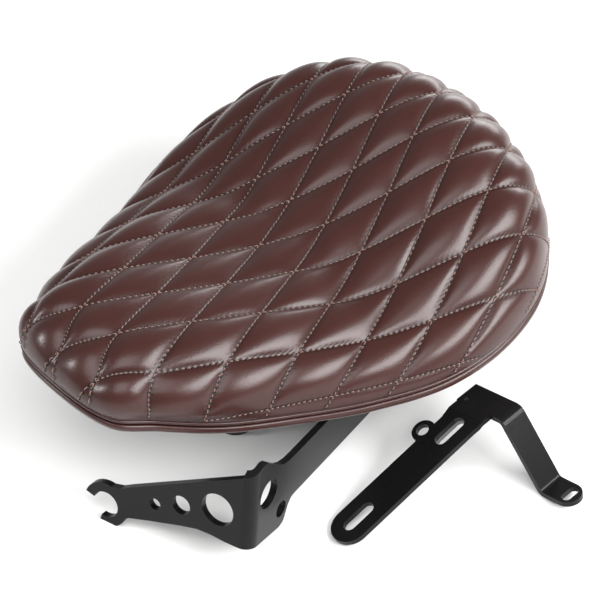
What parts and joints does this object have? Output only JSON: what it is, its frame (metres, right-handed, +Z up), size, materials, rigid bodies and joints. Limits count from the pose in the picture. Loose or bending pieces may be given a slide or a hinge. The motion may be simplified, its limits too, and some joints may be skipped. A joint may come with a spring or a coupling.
{
  "type": "motorcycle seat",
  "caption": "Solo motorcycle seat with a diamond-quilted leather-look cover, shown standing on rubber bumpers beside its hooked front bracket and slotted rear bracket.",
  "frame": {"origin": "centre of the four mounting bolts on the underside of the mounting plate", "axes": "+Y towards the rear of the seat, +X towards the rider's left, +Z up"},
  "size_m": [0.3756, 0.3644, 0.137],
  "materials": {
    "leather": "gloss",
    "foam": "matte",
    "wadding": "matte",
    "pan": "matte",
    "zinc": "satin",
    "rubber": "matte",
    "black_steel": "satin",
    "grey_steel": "satin"
  },
  "bodies": {
    "seat": {"seat_pan": "pan", "mounting_plate": "zinc", "weld_nuts": "zinc", "plate_rivets": "zinc", "foam_pad": "foam", "quilt_wadding": "wadding", "quilted_cover": "leather", "welt_piping": "leather", "side_band": "leather", "cover_hem": "leather", "hem_staples": "zinc", "bumper_front_left": "rubber", "bumper_front_right": "rubber", "bumper_rear_left": "rubber", "bumper_rear_right": "rubber", "bumper_washers": "zinc", "bumper_studs": "zinc", "pan_grommets": "rubber"},
    "front_bracket": {"front_bracket": "black_steel"},
    "rear_bracket": {"rear_bracket": "black_steel", "rear_bracket_doubler": "grey_steel"}
  },
  "joints": [
    {"name": "front_bracket_withdrawal", "type": "slide", "parent": "seat", "child": "front_bracket", "axis": [0.2584, -0.9419, 0.2144], "range_m": [0, 0.2]},
    {"name": "rear_bracket_lift", "type": "slide", "parent": "seat", "child": "rear_bracket", "axis": [0.5, 0, 0.866], "range_m": [0, 0.15]}
  ]
}
